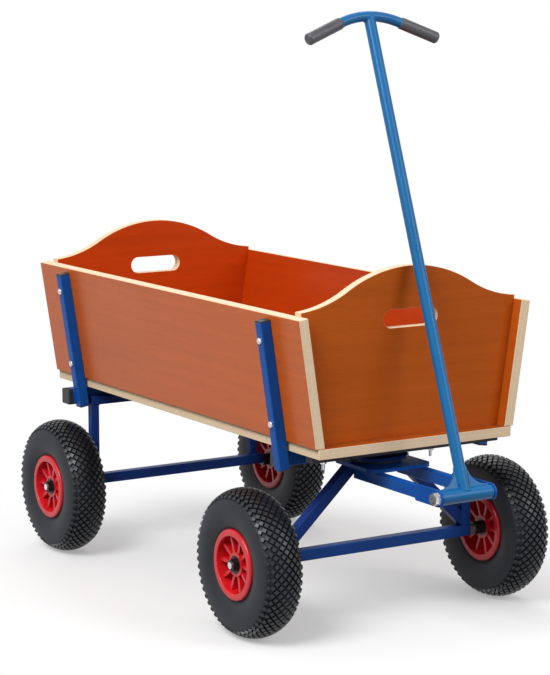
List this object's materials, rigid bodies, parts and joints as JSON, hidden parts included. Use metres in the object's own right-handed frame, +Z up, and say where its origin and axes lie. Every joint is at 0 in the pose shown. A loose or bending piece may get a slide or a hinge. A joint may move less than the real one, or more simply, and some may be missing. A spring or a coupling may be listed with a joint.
{
  "type": "wooden pull wagon",
  "caption": "Pull wagon: leaning plywood box with humped ends on a blue tube chassis, pneumatic wheels, swivelling front axle and a hinged pull pole with a bent handlebar.",
  "frame": {"origin": "on the ground, under the middle of the whole wagon's bounding box", "axes": "+X forward towards the pull pole, +Y to the wagon's left, +Z up"},
  "size_m": [1.129, 0.5996, 1.0626],
  "materials": {
    "plywood": "varnished film over birch plies",
    "beech": "raw",
    "blue_steel": "powder coat",
    "black_steel": "powder coat",
    "zinc": "zinc plated",
    "black_plastic": "moulded",
    "red_plastic": "moulded",
    "tyre_rubber": "dull",
    "tube_rubber": "dull",
    "grip_foam": "matt",
    "nylon": "smooth"
  },
  "bodies": {
    "cart": {"floor_panel": "plywood", "left_side_panel": "plywood", "right_side_panel": "plywood", "front_end_panel": "plywood", "rear_end_panel": "plywood", "panel_dowels": "beech", "front_cross_tube": "blue_steel", "rear_cross_tube": "blue_steel", "rear_tube_pads": "black_plastic", "front_floor_strip": "black_steel", "front_left_stake": "blue_steel", "front_right_stake": "blue_steel", "rear_left_stake": "blue_steel", "rear_right_stake": "blue_steel", "tube_plugs": "black_plastic", "stake_bolts": "zinc", "stake_inserts": "zinc", "floor_bolts": "zinc", "rear_axle_bar": "blue_steel", "rear_legs": "blue_steel", "rear_axle_fasteners": "zinc", "upper_swivel_plate": "blue_steel", "kingpin": "zinc", "kingpin_nut": "zinc"},
    "front_axle": {"slip_ring": "nylon", "swivel_plate": "blue_steel", "front_axle_beam": "blue_steel", "front_axle_bar": "zinc", "front_legs": "blue_steel", "front_left_strut": "blue_steel", "front_right_strut": "blue_steel", "front_axle_fasteners": "zinc", "left_fork_arm": "blue_steel", "right_fork_arm": "blue_steel", "fork_lugs": "blue_steel", "hinge_bolt": "zinc", "hinge_washer": "zinc"},
    "drawbar": {"tee_bar": "blue_steel", "hinge_bushes": "nylon", "pole": "blue_steel", "pole_gussets": "blue_steel", "handlebar": "blue_steel", "left_grip": "grip_foam", "right_grip": "grip_foam"},
    "front_left_wheel": {"front_left_tyre": "tyre_rubber", "front_left_inner_tube": "tube_rubber", "front_left_rim": "red_plastic", "front_left_hub_hardware": "zinc"},
    "front_right_wheel": {"front_right_tyre": "tyre_rubber", "front_right_inner_tube": "tube_rubber", "front_right_rim": "red_plastic", "front_right_hub_hardware": "zinc"},
    "rear_left_wheel": {"rear_left_tyre": "tyre_rubber", "rear_left_inner_tube": "tube_rubber", "rear_left_rim": "red_plastic", "rear_left_hub_hardware": "zinc"},
    "rear_right_wheel": {"rear_right_tyre": "tyre_rubber", "rear_right_inner_tube": "tube_rubber", "rear_right_rim": "red_plastic", "rear_right_hub_hardware": "zinc"}
  },
  "joints": [
    {"name": "steering", "type": "hinge", "parent": "cart", "child": "front_axle", "pos_m": [0.2875, 0, 0.28], "axis": [0, 0, 1], "range_deg": [-22, 22]},
    {"name": "pull_pole", "type": "hinge", "parent": "front_axle", "child": "drawbar", "pos_m": [0.5505, 0, 0.2672], "axis": [0, 1, 0], "range_deg": [0, 115]},
    {"name": "front_left_roll", "type": "hinge", "parent": "front_axle", "child": "front_left_wheel", "pos_m": [0.2875, 0.2615, 0.13], "axis": [0, 1, 0], "continuous": true},
    {"name": "front_right_roll", "type": "hinge", "parent": "front_axle", "child": "front_right_wheel", "pos_m": [0.2875, -0.2615, 0.13], "axis": [0, 1, 0], "continuous": true},
    {"name": "rear_left_roll", "type": "hinge", "parent": "cart", "child": "rear_left_wheel", "pos_m": [-0.4345, 0.254, 0.13], "axis": [0, 1, 0], "continuous": true},
    {"name": "rear_right_roll", "type": "hinge", "parent": "cart", "child": "rear_right_wheel", "pos_m": [-0.4345, -0.254, 0.13], "axis": [0, 1, 0], "continuous": true}
  ]
}
